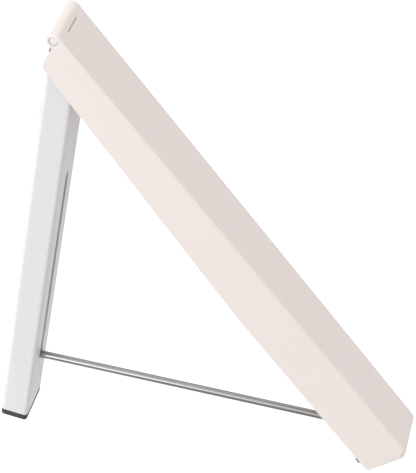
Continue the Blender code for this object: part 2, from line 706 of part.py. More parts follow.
ARM_AXIS = hang("arm_axis", HINGE, "arm_shell", "ear_pin", "bumper_near", "bumper_far",
                "rod_pivot_pin", "pivot_clip", "pivot_washer_near", "pivot_washer_far")
ROD_AXIS = hang("rod_axis", ROD_PIVOT, "rod", "rod_knuckle")
SLIDE_AXIS = hang("slide_axis", SLIDER_PIVOT, "slider", "pivot_screw_near", "pivot_screw_far")
bpy.context.view_layer.update()
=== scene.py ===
"""A wall mounted fold down drying rack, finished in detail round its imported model.

Helpers that shape pieces take millimetres; the frame, places and materials are in metres.
"""
import json
from math import acos, atan2, cos, pi, radians, sin, sqrt, tan

import bmesh
import bpy
from mathutils import Matrix, Vector


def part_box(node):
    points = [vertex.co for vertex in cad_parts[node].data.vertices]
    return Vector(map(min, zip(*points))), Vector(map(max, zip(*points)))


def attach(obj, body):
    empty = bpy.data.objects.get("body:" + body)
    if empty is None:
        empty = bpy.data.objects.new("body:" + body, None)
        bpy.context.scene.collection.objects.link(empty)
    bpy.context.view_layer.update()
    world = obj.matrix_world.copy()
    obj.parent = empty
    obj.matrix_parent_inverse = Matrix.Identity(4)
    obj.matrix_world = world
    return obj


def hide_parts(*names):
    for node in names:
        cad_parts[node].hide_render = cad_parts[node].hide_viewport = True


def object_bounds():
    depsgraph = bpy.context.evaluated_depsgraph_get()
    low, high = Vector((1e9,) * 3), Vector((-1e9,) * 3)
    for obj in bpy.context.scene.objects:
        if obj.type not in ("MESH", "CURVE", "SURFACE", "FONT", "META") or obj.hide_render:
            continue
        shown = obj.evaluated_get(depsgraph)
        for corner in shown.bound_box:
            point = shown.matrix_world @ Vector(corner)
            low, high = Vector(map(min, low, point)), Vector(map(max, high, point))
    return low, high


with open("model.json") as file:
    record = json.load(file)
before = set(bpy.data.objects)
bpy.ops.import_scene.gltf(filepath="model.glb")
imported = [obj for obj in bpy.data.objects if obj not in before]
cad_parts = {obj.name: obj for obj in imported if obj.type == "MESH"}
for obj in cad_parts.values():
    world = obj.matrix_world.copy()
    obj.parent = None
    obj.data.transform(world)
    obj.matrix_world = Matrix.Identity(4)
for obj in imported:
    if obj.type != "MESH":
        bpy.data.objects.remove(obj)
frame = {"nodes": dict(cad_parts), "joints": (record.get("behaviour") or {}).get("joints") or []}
CAD_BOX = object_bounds()

MM = 0.001
JOINTS = {joint["name"]: joint for joint in frame["joints"]}
HINGE = Vector(JOINTS["arm_fold"]["pos_m"])
ROD_PIVOT = Vector(JOINTS["rod_swing"]["pos_m"])
CHANNEL_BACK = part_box("channel")[0].x

# ---- sizes shared with the model, mm and degrees ----
OPEN_ANGLE = 47.0
ROD_RISE = 5.7
FREE_END = 358.9              # arm's free end from the ear pin
ARM_WIDTH, ARM_INNER = 39.3, 34.7
ARM_WALL, ARM_FRONT = 2.3, 2.5
ARM_END_DEPTH, ARM_HINGE_DEPTH = 31.8, 22.3
RIM_TAPER_END = 215.0
ROLL_RADIUS = 4.3
END_RADIUS = 4.6
HINGE_ALONG, HINGE_DEPTH = 15.6, 13.4
ROD_PIVOT_INSET, ROD_PIVOT_DEPTH = 10.4, 11.0
CHANNEL_WIDTH, CHANNEL_DEPTH = 32.5, 18.2
CHANNEL_WALL, CHANNEL_CORNER = 1.7, 2.4
BELOW_SLOT = 41.3             # closed front under the slot
SLOT_WIDTH = 5.8
SLOT_OVER_PIVOT = 2.2         # slot's top over the slider's pivot, folded away
SLIDER_PIVOT_RISE = 8.0       # slider's lower face to its pivot
KEYHOLE_HEAD, KEYHOLE_SHANK, KEYHOLE_RISE = 10.0, 4.6, 10.0
PAD_TO_UPPER_KEYHOLE, PAD_TO_LOWER_KEYHOLE = 1.0, 2.5
PIN_BORE = 4.6                # hinge pin's and rod pin's bores
EAR_BORE, EAR_PIN = 5.6, 5.36
ROD_DIAMETER = 5.0
ROD_PAST_SCREWS, ROD_SHORT_OF_PIN = 3.0, 6.0
BUMPER_FROM_END = 10.4
POCKET_LENGTH, POCKET_WIDTH, POCKET_DEPTH = 3.4, 1.3, 2.3
SLIT_NEAR, SLIT_FAR = 2.6, 3.7        # slit's edges, along the arm from the ear pin
SLIT_DEPTH, SLIT_LENGTH = 1.3, 16.2
HEEL_GAP = 0.35               # arm's heel out from the wall
PAST = 5                      # how far a cutter runs past what it cuts

THETA = radians(OPEN_ANGLE)
ALONG = Vector((sin(THETA), 0, -cos(THETA)))
OUTWARD = Vector((cos(THETA), 0, sin(THETA)))
ARM_PLACE = Matrix.Translation(HINGE) @ Matrix.Rotation(pi / 2 - THETA, 4, "Y")
ROD_PLACE = Matrix.Translation(ROD_PIVOT) @ Matrix.Rotation(-radians(ROD_RISE), 4, "Y")

TURN = {"X": Matrix.Rotation(pi / 2, 4, "Y"), "Y": Matrix.Rotation(-pi / 2, 4, "X"),
        "Z": Matrix.Identity(4)}


# ---- surface finishes ----
class Amount:
    """A number that varies over a surface; arithmetic on it adds the nodes."""

    def __init__(self, finish, socket):
        self.finish = finish
        self.socket = socket

    def _sum(self, operation, first, second):
        return self.finish.node("Math", {"operation": operation}, {0: first, 1: second})

    def __add__(self, other):
        return self._sum("ADD", self, other)

    __radd__ = __add__

    def __sub__(self, other):
        return self._sum("SUBTRACT", self, other)

    def __rsub__(self, other):
        return self._sum("SUBTRACT", other, self)

    def __mul__(self, other):
        return self._sum("MULTIPLY", self, other)

    __rmul__ = __mul__

    def __gt__(self, other):
        return self._sum("GREATER_THAN", self, other)

    def __lt__(self, other):
        return self._sum("LESS_THAN", self, other)

    def __abs__(self):
        return self.finish.node("Math", {"operation": "ABSOLUTE"}, {0: self})


class Finish:
    """One material: its tree, its shader, and short ways to add to them."""

    def __init__(self, name, **fixed):
        self.material = bpy.data.materials.new(name)
        self.material.use_nodes = True
        self.tree = self.material.node_tree
        self.shader = self.tree.nodes["Principled BSDF"]
        for socket, value in fixed.items():
            self.shader.inputs[socket.replace("_", " ")].default_value = value
        self.place = self.node("TexCoord", output="Object")

    def node(self, kind, settings=None, inputs=None, output=0):
        made = self.tree.nodes.new("ShaderNode" + kind)
        for key, value in (settings or {}).items():
            if key == "stops":
                ramp = made.color_ramp.elements
                while len(ramp) < len(value):
                    ramp.new(0.5)
                for element, (position, tone) in zip(ramp, value):
                    element.position = position
                    element.color = tone
            else:
                setattr(made, key, value)
        for socket, value in (inputs or {}).items():
            if isinstance(value, Amount):
                self.tree.links.new(value.socket, made.inputs[socket])
            else:
                made.inputs[socket].default_value = value
        return Amount(self, made.outputs[output])

    def noise(self, scale, detail=2.0, where=None, distortion=0.0):
        return self.node("TexNoise", inputs={"Vector": where or self.place, "Scale": scale,
                                             "Detail": detail, "Distortion": distortion})

    def stretched(self, scale, turn=(0, 0, 0)):
        """Object coordinates turned, then scaled, so that a pattern runs along one axis."""
        turned = self.node("Mapping", inputs={"Vector": self.place, "Rotation": turn})
        return self.node("Mapping", inputs={"Vector": turned, "Scale": scale})

    def ramp(self, amount, *stops):
        grey = [(position, (value, value, value, 1)) for position, value in stops]
        return self.node("ValToRGB", {"stops": grey}, {0: amount})

    def blend(self, amount, first, second):
        return self.node("Mix", {"data_type": "RGBA"}, {0: amount, 6: first, 7: second}, output=2)

    def along(self, direction):
        return self.node("VectorMath", {"operation": "DOT_PRODUCT"},
                         {0: self.place, 1: tuple(direction)}, output="Value")

    def relief(self, height, depth, strength=1.0):
        bump = self.node("Bump", inputs={"Strength": strength, "Distance": depth,
                                         "Height": height})
        self.feed("Normal", bump)

    def feed(self, socket, amount):
        self.tree.links.new(amount.socket, self.shader.inputs[socket])


def colour(red, green, blue):
    return (red, green, blue, 1)


def blush_plastic():
    """Satin moulded plastic: faint flow marks along the arm, a fine spark grain, and painted warm
    shade in the slit.
    """
    f = Finish("blush_plastic", IOR=1.46, Specular_IOR_Level=0.42)
    flow_along = f.stretched((6, 60, 60), (0, -(pi / 2 - THETA), 0))
    flow = f.noise(1.0, 3.0, flow_along, 0.4)
    cloud = f.noise(16, 3.0)
    grain = f.noise(2600, 2.0)
    skin = f.blend(cloud * 0.6 + flow * 0.4, colour(*BLUSH_LOW), colour(*BLUSH_HIGH))
    speck = f.ramp(grain, (0.30, 1.0), (0.42, 0.0))
    skin = f.blend(speck * 0.18, skin, colour(*BLUSH_SHADE))
    from_pin = f.along(ALONG) - (HINGE.dot(ALONG) - HINGE_ALONG * MM)
    below_front = (HINGE.dot(OUTWARD) + HINGE_DEPTH * MM) - f.along(OUTWARD)
    across = abs(f.along((0, 1, 0)))
    slit_middle = (SLIT_NEAR + SLIT_FAR) / 2 * MM
    # painted shade: a warmer, deeper tint of the plastic inside the slit stands in for the shade
    # there
    slit = (abs(from_pin - slit_middle) < SLIT_SHADE_HALF) * (below_front > SLIT_SHADE_TOP)
    slit = slit * (below_front < SLIT_SHADE_FLOOR) * (across < SLIT_SHADE_END)
    f.feed("Base Color", f.blend(slit, skin, colour(*BLUSH_SLIT_SHADE)))
    f.feed("Roughness", 0.40 + 0.10 * flow + 0.06 * grain)
    f.relief(grain * 0.6 + f.noise(700, 2.0) * 0.4, 0.000018, 0.5)
    return f.material


def satin_aluminium():
    """Anodised extrusion: die lines up the channel, a faint bloom, and painted shade on the inner
    walls.
    """
    f = Finish("satin_aluminium", Metallic=0.25, IOR=1.45, Specular_IOR_Level=0.2,
               Specular_Tint=(0.55, 0.55, 0.55, 1))
    line_place = f.stretched((1, 1, 0.004))
    fine = f.noise(2400, 3.0, line_place)
    broad = f.noise(260, 2.0, line_place)
    bloom = f.noise(30, 3.0)
    metal = f.blend(fine * 0.5 + broad * 0.5, colour(*ALLOY_LOW), colour(*ALLOY_HIGH))
    across = abs(f.along((0, 1, 0)))
    out = f.along((1, 0, 0))
    skin = 0.6 * CHANNEL_WALL
    # painted shade: the inner walls, seen through the slot, are coloured nearly black
    inside_shade = (across < (CHANNEL_WIDTH / 2 - skin) * MM)
    inside_shade = inside_shade * (out > CHANNEL_BACK + skin * MM)
    inside_shade = inside_shade * (out < CHANNEL_BACK + (CHANNEL_DEPTH - skin) * MM)
    f.feed("Base Color", f.blend(inside_shade, metal, colour(*ALLOY_INSIDE_SHADE)))
    f.feed("Roughness", 0.34 + 0.14 * fine + 0.08 * bloom)
    f.relief(fine * 0.6 + broad * 0.4, 0.00001, 0.35)
    return f.material


def drawn_steel(name, base, rough, squeeze, turn=(0, 0, 0)):
    """Stainless bar or pin: draw marks run along the axis that squeeze shortens."""
    f = Finish(name, Metallic=1.0)
    marks = f.noise(3200, 3.0, f.stretched(squeeze, turn))
    stain = f.noise(55, 3.0)
    f.feed("Base Color", f.blend(marks * 0.6 + stain * 0.4, colour(base, base, base * 0.99),
                                 colour(base * 1.35, base * 1.34, base * 1.32)))
    f.feed("Roughness", rough + 0.14 * marks + 0.06 * stain)
    f.relief(marks, 0.000008, 0.4)
    return f.material


def grained(name, low, high, rough, grain_scale, depth):
    """Moulded plastic, rubber or foam: two close tones and a grain in relief."""
    f = Finish(name)
    cells = f.node("TexVoronoi", inputs={"Vector": f.place, "Scale": grain_scale})
    cloud = f.noise(grain_scale * 0.05, 3.0)
    f.feed("Base Color", f.blend(cloud, colour(*low), colour(*high)))
    f.feed("Roughness", rough + 0.12 * cloud + 0.08 * cells)
    f.relief(cells, depth, 0.6)
    return f.material


BLUSH_LOW, BLUSH_HIGH = (0.84, 0.755, 0.725), (0.875, 0.80, 0.765)
# the second colour here is painted warm shade for the inside of the slit
BLUSH_SHADE, BLUSH_SLIT_SHADE = (0.74, 0.65, 0.62), (0.86, 0.70, 0.58)
# the third alloy colour is painted shade for the channel's inner walls
ALLOY_LOW, ALLOY_HIGH, ALLOY_INSIDE_SHADE = (0.77, 0.77, 0.775), (0.86, 0.86, 0.865), (0.16, 0.16, 0.165)
# where the painted shade in the slit lies: half its width, its top and floor below the front, half
# its length
SLIT_SHADE_HALF, SLIT_SHADE_TOP, SLIT_SHADE_FLOOR, SLIT_SHADE_END = 0.0008, 0.0003, 0.0036, 0.0087

BLUSH = blush_plastic()
ALLOY = satin_aluminium()
ROD_STEEL = drawn_steel("drawn_rod_steel", 0.31, 0.07, (0.01, 1, 1), (0, radians(ROD_RISE), 0))
PIN_STEEL = drawn_steel("turned_pin_steel", 0.70, 0.3, (1, 0.02, 1))
BLACK = grained("black_nylon", (0.030, 0.030, 0.033), (0.055, 0.055, 0.060),
                rough=0.42, grain_scale=2200, depth=0.00003)
WHITE_NYLON = grained("white_nylon", (0.80, 0.80, 0.77), (0.86, 0.86, 0.84),
                      rough=0.40, grain_scale=1800, depth=0.00001)
RUBBER = grained("black_rubber", (0.016, 0.016, 0.017), (0.032, 0.031, 0.031),
                 rough=0.72, grain_scale=1500, depth=0.00003)
FOAM = grained("pad_foam", (0.74, 0.74, 0.71), (0.84, 0.84, 0.81),
               rough=0.82, grain_scale=1300, depth=0.00012)


# ---- shaping helpers, mm ----
def link(name, mesh):
    piece = bpy.data.objects.new(name, mesh)
    bpy.context.scene.collection.objects.link(piece)
    return piece


def mesh_of(name, shape):
    mesh = bpy.data.meshes.new(name)
    bmesh.ops.recalc_face_normals(shape, faces=shape.faces)
    shape.to_mesh(mesh)
    shape.free()
    return mesh


def arc(centre, radius, start, end, step=6.0):
    steps = max(2, round(abs(end - start) / radians(step)))
    turns = [start + (end - start) * i / steps for i in range(steps + 1)]
    return [(centre[0] + radius * cos(t), centre[1] + radius * sin(t)) for t in turns]


def rounded(points, radii, step=6.0):
    """A closed outline whose corners are rounded, each by its own radius (0 leaves it sharp)."""
    outline = []
    count = len(points)
    for i, radius in enumerate(radii):
        here = Vector(points[i])
        before = (Vector(points[i - 1]) - here).normalized()
        after = (Vector(points[(i + 1) % count]) - here).normalized()
        if radius <= 0:
            outline.append(tuple(here))
            continue
        half = acos(max(-1, min(1, before.dot(after)))) / 2
        centre = here + (before + after).normalized() * radius / sin(half)
        first = here + before * radius / tan(half) - centre
        last = here + after * radius / tan(half) - centre
        start = atan2(first.y, first.x)
        turn = (atan2(last.y, last.x) - start + pi) % (2 * pi) - pi
        outline += arc(centre, radius, start, start + turn, step)
    return outline


def moulded_plate(name, outline, width, edge, steps=7, place=Matrix.Identity(4)):
    """A plate across Y with rounded edges; edge(point, normal) gives the radius at each point."""
    count = len(outline)
    points = [Vector(p) for p in outline]
    area = sum(points[i - 1].x * points[i].y - points[i].x * points[i - 1].y for i in range(count))
    side = 1 if area > 0 else -1
    rims = []
    for i, point in enumerate(points):
        one = (point - points[i - 1]).normalized()
        two = (points[(i + 1) % count] - point).normalized()
        mean = (one + two).normalized()
        normal = Vector((mean.y, -mean.x)) * side
        stretch = 1 / max(0.8, sqrt(max(0, (1 + one.dot(two)) / 2)))
        rims.append((point, normal, stretch, edge(point, normal)))
    half = width / 2
    turns = [pi / 2 * k / steps for k in range(steps + 1)]
    shape = bmesh.new()
    rows = []
    for sign, sweep in ((-1, turns), (1, turns[::-1])):
        for turn in sweep:
            row = []
            for point, normal, stretch, radius in rims:
                inset = point - normal * stretch * radius * (1 - sin(turn))
                y = sign * (half - radius * (1 - cos(turn)))
                row.append(shape.verts.new((inset.x * MM, y * MM, inset.y * MM)))
            rows.append(row)
    for one, two in zip(rows, rows[1:]):
        for i in range(count):
            j = (i + 1) % count
            shape.faces.new((one[i], one[j], two[j], two[i]))
    shape.faces.new(rows[0])
    shape.faces.new(rows[-1])
    bmesh.ops.transform(shape, matrix=place, verts=shape.verts)
    return link(name, mesh_of(name, shape))


def block(name, low, high, place=Matrix.Identity(4), rounding=0.0, along="Z", segments=8):
    shape = bmesh.new()
    bmesh.ops.create_cube(shape, size=1)
    low, high = Vector(low) * MM, Vector(high) * MM
    bmesh.ops.transform(shape, matrix=Matrix.Translation((low + high) / 2)
                        @ Matrix.Diagonal((*(high - low), 1)), verts=shape.verts)
    if rounding > 0:
        axis = "XYZ".index(along)
        edges = [e for e in shape.edges
                 if abs((e.verts[0].co - e.verts[1].co).normalized()[axis]) > 0.99]
        bmesh.ops.bevel(shape, geom=edges, offset=rounding * MM, segments=segments,
                        affect="EDGES", profile=0.5)
    bmesh.ops.transform(shape, matrix=place, verts=shape.verts)
    return link(name, mesh_of(name, shape))


def turned(name, profile, place=Matrix.Identity(4), centre=(0, 0, 0), axis="Y", faces=64):
    """A turned piece: (radius, height) points, ends on the axis."""
    shape = bmesh.new()
    rings = []
    for radius, height in profile:
        if radius <= 0:
            rings.append([shape.verts.new((0, 0, height * MM))])
            continue
        rings.append([shape.verts.new((radius * cos(2 * pi * i / faces) * MM,
                                       radius * sin(2 * pi * i / faces) * MM, height * MM))
                      for i in range(faces)])
    for one, two in zip(rings, rings[1:]):
        for i in range(faces):
            j = (i + 1) % faces
            corners = [one[i % len(one)], one[j % len(one)], two[j % len(two)], two[i % len(two)]]
            face = [v for k, v in enumerate(corners) if v not in corners[:k]]
            if len(face) > 2:
                shape.faces.new(face)
    move = place @ Matrix.Translation(Vector(centre) * MM) @ TURN[axis]
    bmesh.ops.transform(shape, matrix=move, verts=shape.verts)
    return link(name, mesh_of(name, shape))


def cylinder(name, centre, radius, length, axis="Y", place=Matrix.Identity(4), faces=64):
    half = length / 2
    profile = [(0, half), (radius, half), (radius, -half), (0, -half)]
    return turned(name, profile, place, centre, axis, faces)


def bake(piece):
    """Turn the modifiers on a piece into its mesh."""
    bpy.context.view_layer.update()
    solid = piece.evaluated_get(bpy.context.evaluated_depsgraph_get())
    mesh = bpy.data.meshes.new_from_object(solid)
    piece.modifiers.clear()
    piece.data = mesh
    return piece


def carve(piece, operation, *tools):
    for tool in tools:
        step = piece.modifiers.new(operation, "BOOLEAN")
        step.operation = operation
        step.solver = "EXACT"
        step.object = tool
    bake(piece)
    for tool in tools:
        bpy.data.objects.remove(tool, do_unlink=True)
    return piece


JOINED = 0.001                # points this near are one
FLAT_ANGLE, SHARP_ANGLE = 0.4, 38.0
SLIVER_AREA = 0.01            # mm2


def mend(piece):
    """Join doubled points, drop slivers without area and close the pinholes they leave."""
    shape = bmesh.new()
    shape.from_mesh(piece.data)
    bmesh.ops.remove_doubles(shape, verts=shape.verts, dist=JOINED * MM)
    bmesh.ops.dissolve_degenerate(shape, dist=JOINED * MM, edges=shape.edges)
    slivers = [face for face in shape.faces if face.calc_area() < SLIVER_AREA * MM ** 2
               and any(len(edge.link_faces) > 2 for edge in face.edges)]
    bmesh.ops.delete(shape, geom=slivers, context="FACES_ONLY")
    bmesh.ops.delete(shape, geom=[edge for edge in shape.edges if not edge.link_faces],
                     context="EDGES")
    bmesh.ops.holes_fill(shape, edges=[edge for edge in shape.edges if edge.is_boundary], sides=8)
    shape.to_mesh(piece.data)
    shape.free()


def soften(piece, width, segments=2, angle=SHARP_ANGLE, merge_flats=True):
    """Break the sharp edges, and shade the rest as one smooth skin."""
    shape = bmesh.new()
    shape.from_mesh(piece.data)
    bmesh.ops.remove_doubles(shape, verts=shape.verts, dist=2 * JOINED * MM)
    if merge_flats:
        bmesh.ops.dissolve_limit(shape, angle_limit=radians(FLAT_ANGLE), verts=shape.verts,
                                 edges=shape.edges)
    shape.to_mesh(piece.data)
    shape.free()
    if width > 0:
        bevel = piece.modifiers.new("Broken edges", "BEVEL")
        bevel.width = width * MM
        bevel.segments = segments
        bevel.limit_method = "ANGLE"
        bevel.angle_limit = radians(angle)
        bevel.use_clamp_overlap = True
    bake(piece)
    mend(piece)
    piece.data.shade_smooth()
    piece.data.set_sharp_from_angle(angle=radians(angle))
    even = piece.modifiers.new("Even normals", "WEIGHTED_NORMAL")
    even.keep_sharp = True
    even.weight = 60
    return bake(piece)


def dress(piece, material, slot, body, *nodes):
    """Give a finished piece its material, and hang it on its body in place of its plain solids."""
    piece.data.materials.clear()
    piece.data.materials.append(material)
    if nodes:
        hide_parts(*nodes)
    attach(piece, body)
    return piece


def refined(node, name, material, slot, body, width=0.15, segments=2):
    """A CAD solid's own shape, merged, with broken edges and a smooth skin."""
    mesh = frame["nodes"][node].data.copy()
    mesh.name = name
    piece = link(name, mesh)
    soften(piece, width, segments)
    return dress(piece, material, slot, body, node)


# ---- rows of ribs, grown by one tree of nodes ----
def rib_tree():
    """Round ribs along a line: each lies along Z, and the line runs along X."""
    tree = bpy.data.node_groups.new("rib_row", "GeometryNodeTree")
    face = tree.interface
    names = {}
    for name, kind in (("Count", "Int"), ("Pitch", "Float"), ("Radius", "Float"),
                       ("Length", "Float"), ("Sides", "Int"), ("Finish", "Material")):
        names[name] = face.new_socket(name=name, in_out="INPUT",
                                      socket_type="NodeSocket" + kind).identifier
    face.new_socket(name="Geometry", in_out="OUTPUT", socket_type="NodeSocketGeometry")

    def add(kind, **settings):
        node = tree.nodes.new(kind)
        for key, value in settings.items():
            setattr(node, key, value)
        return node

    given, result = add("NodeGroupInput"), add("NodeGroupOutput")
    step = add("ShaderNodeCombineXYZ")
    line = add("GeometryNodeMeshLine", mode="OFFSET")
    rib = add("GeometryNodeMeshCylinder", fill_type="TRIANGLE_FAN")
    spread = add("GeometryNodeInstanceOnPoints")
    solid = add("GeometryNodeRealizeInstances")
    paint = add("GeometryNodeSetMaterial")
    for start, end in ((given.outputs["Pitch"], step.inputs["X"]),
                       (given.outputs["Count"], line.inputs["Count"]),
                       (step.outputs["Vector"], line.inputs["Offset"]),
                       (given.outputs["Sides"], rib.inputs["Vertices"]),
                       (given.outputs["Radius"], rib.inputs["Radius"]),
                       (given.outputs["Length"], rib.inputs["Depth"]),
                       (line.outputs["Mesh"], spread.inputs["Points"]),
                       (rib.outputs["Mesh"], spread.inputs["Instance"]),
                       (spread.outputs["Instances"], solid.inputs["Geometry"]),
                       (solid.outputs["Geometry"], paint.inputs["Geometry"]),
                       (given.outputs["Finish"], paint.inputs["Material"]),
                       (paint.outputs["Geometry"], result.inputs["Geometry"])):
        tree.links.new(start, end)
    return tree, names


RIBS, RIB_INPUTS = rib_tree()


def rib_row(name, count, pitch, radius, length, place, material, slot, body, sides=24):
    """A row of ribs as one plain mesh; place turns and moves it from the origin."""
    piece = link(name, bpy.data.meshes.new(name))
    grow = piece.modifiers.new("Ribs", "NODES")
    grow.node_group = RIBS
    for key, value in (("Count", count), ("Pitch", pitch * MM), ("Radius", radius * MM),
                       ("Length", length * MM), ("Sides", sides), ("Finish", material)):
        grow[RIB_INPUTS[key]] = value
    bake(piece)
    piece.data.transform(place)
    piece.data.shade_smooth()
    piece.data.set_sharp_from_angle(angle=radians(SHARP_ANGLE))
    return dress(piece, material, slot, body)


# ---- wall channel ----
def channel_piece():
    low, high = (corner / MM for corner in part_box("channel"))
    inner = CHANNEL_WIDTH / 2 - CHANNEL_WALL
    side = SLOT_WIDTH / 2
    piece = block("wall_channel_extrusion", low, high, rounding=CHANNEL_CORNER, segments=10)
    hollow = block("hollow", (low.x + CHANNEL_WALL, -inner, low.z - PAST),
                   (high.x - CHANNEL_WALL, inner, high.z + PAST),
                   rounding=CHANNEL_CORNER - CHANNEL_WALL, segments=5)
    slot_low = low.z + BELOW_SLOT
    slot_high = SLIDER_CLOSED_Z + SLOT_OVER_PIVOT
    slot = block("slot", (low.x - PAST, -side, slot_low), (high.x + PAST, side, slot_high),
                 rounding=side * 0.999, along="X", segments=16)
    hinge = HINGE / MM
    bore = PIN_BORE / 2
    notch = block("notch", (hinge.x - bore, low.y - PAST, hinge.z),
                  (hinge.x + bore, high.y + PAST, high.z + PAST))
    seat = cylinder("seat", hinge, bore, CHANNEL_WIDTH + 2 * PAST)
    tools = [hollow, slot, notch, seat]
    for centre_z in (UPPER_KEYHOLE_Z, LOWER_KEYHOLE_Z):
        shank = KEYHOLE_SHANK / 2
        tools.append(cylinder("head", (low.x, 0, centre_z), KEYHOLE_HEAD / 2,
                              2 * CHANNEL_WALL + 2, "X"))
        tools.append(block("neck", (low.x - CHANNEL_WALL - 1, -shank, centre_z - shank),
                           (low.x + CHANNEL_WALL + 1, shank, centre_z + KEYHOLE_RISE),
                           rounding=shank * 0.999, along="X", segments=12))
    carve(piece, "DIFFERENCE", *tools)
    soften(piece, 0.22)
    return dress(piece, ALLOY, "channel_metal", "wall_channel", "channel")


LOWER_KEYHOLE_Z = (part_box("wall_pad_lower")[1].z / MM + PAD_TO_LOWER_KEYHOLE
                   + KEYHOLE_HEAD / 2)
UPPER_KEYHOLE_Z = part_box("wall_pad_upper")[0].z / MM - PAD_TO_UPPER_KEYHOLE - KEYHOLE_RISE
SLIDER_CLOSED_Z = (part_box("slider")[0].z / MM + SLIDER_PIVOT_RISE
                   + JOINTS["slider_slide"]["range_m"][1] / MM)
channel_piece()

refined("hinge_block", "hinge_end_block", BLACK, "end_plastic", "wall_channel", 0.25, 3)
refined("bottom_cap", "channel_end_cap", BLACK, "end_plastic", "wall_channel", 0.45, 3)
refined("wall_pad_upper", "upper_wall_pad", FOAM, "pad", "wall_channel", 0.2, 3)
refined("wall_pad_lower", "lower_wall_pad", FOAM, "pad", "wall_channel", 0.2, 3)
refined("hinge_pin", "hinge_axle", PIN_STEEL, "steel", "wall_channel", 0.0)
refined("hinge_washer_near", "hinge_shim_near", WHITE_NYLON, "nylon", "wall_channel", 0.08)
refined("hinge_washer_far", "hinge_shim_far", WHITE_NYLON, "nylon", "wall_channel", 0.08)

refined("slider", "slider_block", WHITE_NYLON, "nylon", "slider", 0.3, 2)
refined("pivot_screw_near", "set_screw_near", PIN_STEEL, "steel", "slider", 0.0)
refined("pivot_screw_far", "set_screw_far", PIN_STEEL, "steel", "slider", 0.0)


# ---- arm ----
def arm_outline(points):
    return [(along - HINGE_ALONG, HINGE_DEPTH - depth) for along, depth in points]


def arm_spot(along, depth, y=0.0):
    return (along - HINGE_ALONG, y, HINGE_DEPTH - depth)


def from_wall(x, z):
    """(along, depth) of a point given out from the wall and up from it."""
    away = Vector((x, 0, z)) - HINGE / MM
    return HINGE_ALONG + away.dot(ALONG), HINGE_DEPTH - away.dot(OUTWARD)


def arm_side():
    """The arm's outline from the side: front, rolled ear, heel and tapered rim."""
    hinge = HINGE / MM
    ear = [(x, -z) for x, z in arc((0, -ROLL_RADIUS), ROLL_RADIUS, pi / 2, radians(300))]
    rise = (HINGE_DEPTH - ARM_HINGE_DEPTH - (HEEL_GAP - hinge.x) * cos(THETA)) / sin(THETA)
    corners = [(FREE_END, 0)]
    corners += [(FREE_END * k / 24, 0) for k in range(23, 0, -1)]
    radii = [END_RADIUS] + [0] * (len(corners) - 1 + len(ear))
    corners += ear
    corners += [(4.3, 10.3), from_wall(HEEL_GAP, hinge.z + 3.0),
                from_wall(HEEL_GAP, hinge.z + rise),
                (RIM_TAPER_END, ARM_END_DEPTH), (FREE_END, ARM_END_DEPTH)]
    radii += [1.6, 4.0, 2.4, 900, 3.0]
    return rounded(arm_outline(corners), radii, 5.0)


def skin_radius(point, normal):
    """Tight at the hinge end, fuller at the free end, and crisp on the open rim."""
    rim, hinge_end, growth = 0.45, 1.35, 3.0
    along = max(0.0, min(1.0, (point.x + HINGE_ALONG) / FREE_END))
    front = hinge_end + growth * along
    lean = max(0.0, min(1.0, (normal.y + 0.25) / 0.75))
    return rim + (front - rim) * lean * lean * (3 - 2 * lean)


def hollow_radius(point, normal):
    """Nearly sharp round the rolled end, and a small fillet along the rest."""
    return 0.04 + 0.7 * max(0.0, min(1.0, (point.x - 2) / 20))


ROLL_LIP = 0.25               # rolled end standing past the hollow round it
RIB_HALF, RIB_REACH, RIB_WIDTH, RIB_OFFSET = 4.8, 8.8, 2.2, 6.9   # the rod pin's two ribs


